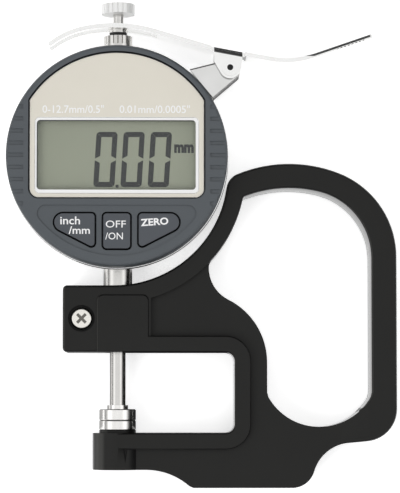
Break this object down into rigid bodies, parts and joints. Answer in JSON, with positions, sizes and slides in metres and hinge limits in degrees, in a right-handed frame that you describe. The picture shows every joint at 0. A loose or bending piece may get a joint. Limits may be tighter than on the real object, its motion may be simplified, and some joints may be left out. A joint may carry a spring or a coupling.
{
  "type": "digital thickness gauge",
  "caption": "C-frame thickness gauge with a round digital indicator, a flat sprung contact lifted by a thumb lever, and a handle loop.",
  "frame": {"origin": "centre of the back cover's outer face, on the plane that the gauge lies on", "axes": "+X to the right across the display, +Y along the spindle from the anvil to the lifting knob, +Z out of the display"},
  "size_m": [0.1083, 0.1354, 0.0223],
  "materials": {
    "frame_black": "matt black enamel on a casting",
    "case_metal": "satin plated",
    "bright_steel": "ground and polished",
    "nickel_screw": "nickel plated",
    "lever_steel": "polished sheet",
    "cover_plastic": "fine matt moulding",
    "cap_plastic": "matt moulding",
    "bezel_plastic": "satin slate grey moulding",
    "panel_plastic": "smooth beige print film",
    "key_plastic": "satin moulding",
    "window_clear": "clear polished window",
    "display_glass": "reflective liquid crystal cell, grey green",
    "board_green": "solder resist",
    "rubber_black": "matt",
    "cell_steel": "nickel plated",
    "clip_metal": "bright strip",
    "slider_plastic": "plain moulding",
    "spring_steel": "drawn wire",
    "switch_black": "plain moulding"
  },
  "bodies": {
    "gauge": {"frame_casting": "frame_black", "anvil_disc": "bright_steel", "clamp_screw": "nickel_screw", "stem_tube": "bright_steel", "indicator_case": "case_metal", "back_cover": "cover_plastic", "cover_screws": "nickel_screw", "front_bezel": "bezel_plastic", "face_panel": "panel_plastic", "display_lens": "window_clear", "lcd_glass": "display_glass", "lcd_strips": "rubber_black", "circuit_board": "board_green", "key_switches": "switch_black", "coin_cell": "cell_steel", "cell_clip": "clip_metal", "battery_cap": "cap_plastic", "top_bush": "bright_steel", "guide_pin": "bright_steel", "return_spring": "spring_steel", "lever_bracket": "lever_steel", "bracket_screws": "nickel_screw", "pivot_rivet": "bright_steel"},
    "spindle": {"spindle_rod": "bright_steel", "contact_disc": "bright_steel", "lift_stud": "bright_steel", "bumper_ring": "rubber_black", "lift_knob": "bright_steel", "slider_block": "slider_plastic", "slider_plate": "board_green"},
    "lever": {"lever_arm": "lever_steel"},
    "unit_button": {"key_unit": "key_plastic"},
    "power_button": {"key_power": "key_plastic"},
    "zero_button": {"key_zero": "key_plastic"}
  },
  "joints": [
    {"name": "spindle_slide", "type": "slide", "parent": "gauge", "child": "spindle", "axis": [0, 1, 0], "range_m": [0, 0.0127], "stiffness_N_per_m": 60, "springref_m": -0.02, "deforming": ["return_spring"]},
    {"name": "lever_pivot", "type": "hinge", "parent": "gauge", "child": "lever", "pos_m": [0.03135, 0.0258, 0.007], "axis": [0, 0, -1], "range_deg": [0, 24.5]},
    {"name": "unit_press", "type": "slide", "parent": "gauge", "child": "unit_button", "axis": [0, 0, -1], "range_m": [0, 0.0005], "stiffness_N_per_m": 600, "springref_m": -0.001},
    {"name": "power_press", "type": "slide", "parent": "gauge", "child": "power_button", "axis": [0, 0, -1], "range_m": [0, 0.0005], "stiffness_N_per_m": 600, "springref_m": -0.001},
    {"name": "zero_press", "type": "slide", "parent": "gauge", "child": "zero_button", "axis": [0, 0, -1], "range_m": [0, 0.0005], "stiffness_N_per_m": 600, "springref_m": -0.001}
  ],
  "couplings": [
    {"joint": "lever_pivot", "follows": "spindle_slide", "rad_per_m": 33.6}
  ]
}
